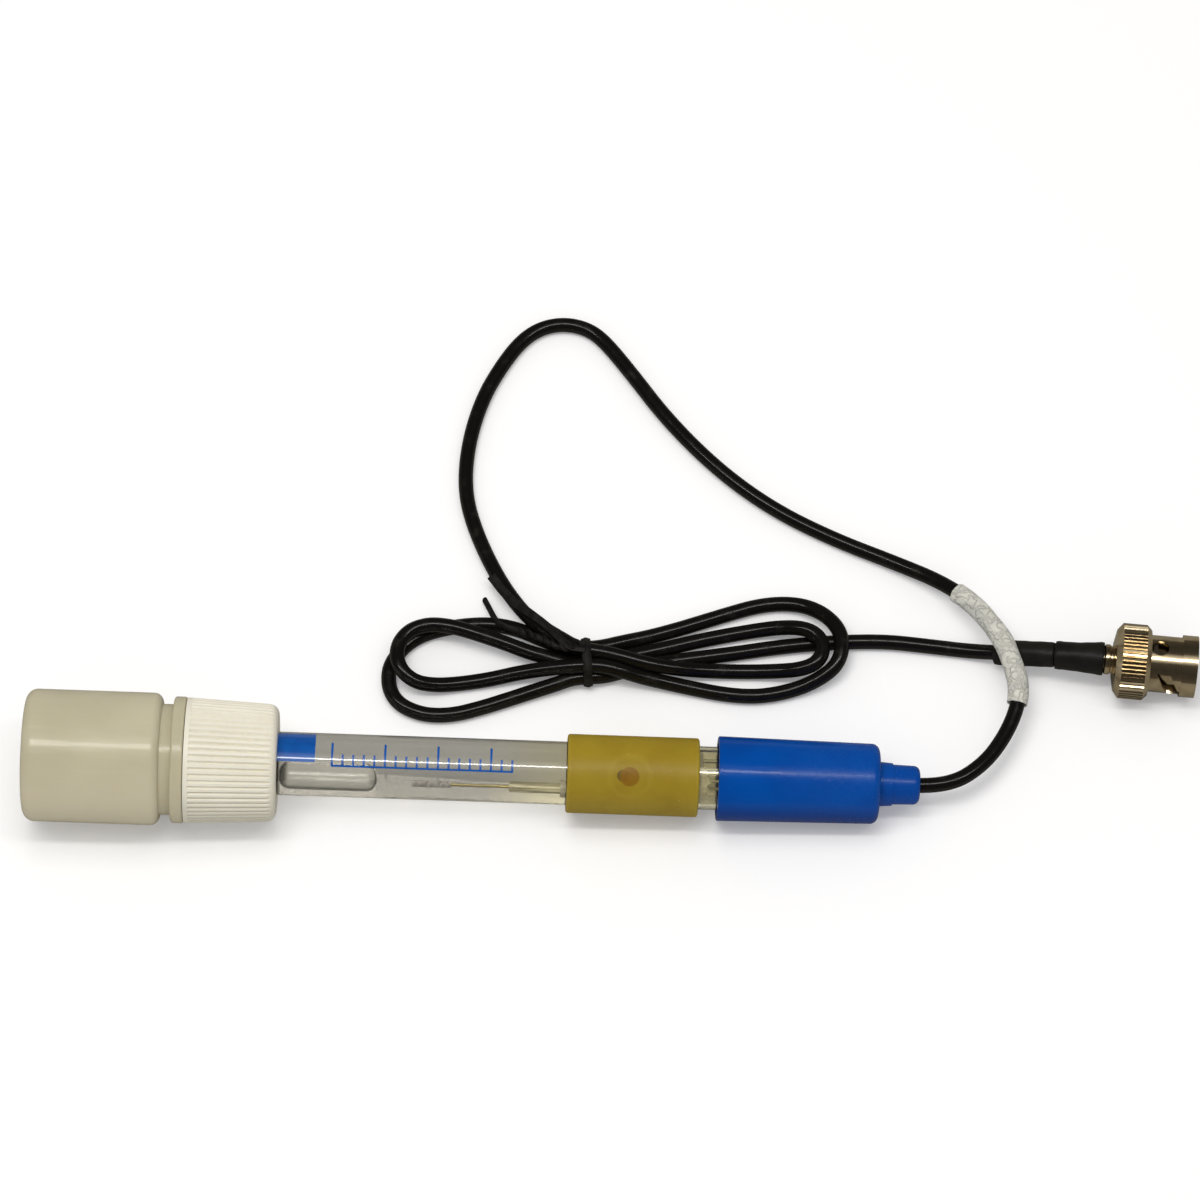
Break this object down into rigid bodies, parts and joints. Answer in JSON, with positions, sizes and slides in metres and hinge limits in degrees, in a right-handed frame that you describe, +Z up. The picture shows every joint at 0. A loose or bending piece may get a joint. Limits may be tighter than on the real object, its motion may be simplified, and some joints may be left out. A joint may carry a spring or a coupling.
{
  "type": "reference electrode",
  "caption": "Glass reference electrode with a ceramic junction, refill sleeve, storage bottle and a tied lead that ends in a bayonet coaxial plug.",
  "frame": {"origin": "on the table, under the middle of the electrode and its storage bottle", "axes": "+X along the electrode from the storage bottle to the head, +Z up from the table, +Y towards the tied lead"},
  "size_m": [0.2236, 0.1146, 0.0259],
  "materials": {
    "clear_glass": "clear laboratory glass, polished",
    "frit": "porous white ceramic",
    "electrolyte": "clear gelled salt solution",
    "silver_chloride": "rough grey silver chloride",
    "silver": "drawn silver wire",
    "sheath": "milky small bore tubing",
    "sealant": "cured sealant",
    "wad": "whitish sealing compound",
    "stem_glass": "clear glass tubing",
    "lead_insulation": "thin insulated wire",
    "tinned_copper": "tinned copper wire",
    "solder": "solder",
    "blue_plastic": "moulded blue plastic, satin gloss",
    "resin": "cast resin",
    "black_cable": "black flexible cable jacket",
    "clamp_brass": "crimped brass ring",
    "amber_silicone": "translucent amber silicone",
    "ring_rubber": "black rubber ring",
    "washer_plastic": "white slippery plastic",
    "white_plastic": "off-white moulded plastic",
    "bottle_plastic": "translucent soft plastic",
    "marker_film": "white translucent marker film",
    "tie_plastic": "black plastic over wire",
    "shrink_tube": "dull black shrink tubing",
    "nickel": "nickel plated brass",
    "plug_white": "white insulating plastic",
    "gold": "gold plated brass",
    "gasket_rubber": "red silicone gasket",
    "spring_steel": "spring steel"
  },
  "bodies": {
    "electrode": {"glass_body": "clear_glass", "ceramic_junction": "frit", "electrolyte_fill": "electrolyte", "chloride_element": "silver_chloride", "silver_wire": "silver", "sheath_tube": "sheath", "sheath_seal": "sealant", "seal_wad": "wad", "inner_stem": "stem_glass", "signal_lead": "lead_insulation", "screen_lead": "tinned_copper", "drain_lead": "tinned_copper", "solder_joint": "solder", "head_cap": "blue_plastic", "head_potting": "resin", "cord_inlet": "black_cable", "cable_clamp": "clamp_brass", "cord_lead": "black_cable", "cord_hank": "black_cable", "cord_tail": "black_cable", "cable_label": "marker_film", "twist_tie": "tie_plastic", "shrink_tube_rear": "shrink_tube", "shrink_tube_front": "shrink_tube", "plug_ferrule": "nickel", "plug_body": "nickel", "plug_outer_contact": "nickel", "plug_insulator": "plug_white", "plug_centre_pin": "gold", "plug_gasket": "gasket_rubber", "plug_spring_washer": "spring_steel"},
    "seal": {"cap_o_ring": "ring_rubber", "slip_washer": "washer_plastic"},
    "cap": {"storage_cap": "white_plastic"},
    "bottle": {"storage_bottle": "bottle_plastic"},
    "sleeve": {"fill_sleeve": "amber_silicone"},
    "nut_washer": {"plug_thrust_washer": "nickel"},
    "nut": {"plug_nut": "nickel"}
  },
  "joints": [
    {"name": "storage_slide", "type": "slide", "parent": "electrode", "child": "seal", "axis": [-0.9993, 0, 0.0361], "range_m": [0, 0.05]},
    {"name": "cap_turn", "type": "hinge", "parent": "seal", "child": "cap", "pos_m": [-0.03868, 0, 0.01175], "axis": [0.9993, 0, -0.0361], "range_deg": [0, 1080]},
    {"name": "bottle_back_off", "type": "slide", "parent": "seal", "child": "bottle", "axis": [-0.9993, 0, 0.0361], "range_m": [0, 0.01201]},
    {"name": "sleeve_slide", "type": "slide", "parent": "electrode", "child": "sleeve", "axis": [0.9993, 0, -0.0361], "range_m": [-0.018, 0.0033]},
    {"name": "nut_push", "type": "slide", "parent": "electrode", "child": "nut_washer", "axis": [0.9971, -0.0767, 0], "range_m": [0, 0.0005], "stiffness_N_per_m": 500, "springref_m": -0.001},
    {"name": "nut_turn", "type": "hinge", "parent": "nut_washer", "child": "nut", "pos_m": [0.12349, 0.02697, 0.00725], "axis": [0.9971, -0.0767, 0], "continuous": true}
  ],
  "couplings": [
    {"joint": "bottle_back_off", "follows": "cap_turn", "m_per_rad": 0.00063662}
  ]
}
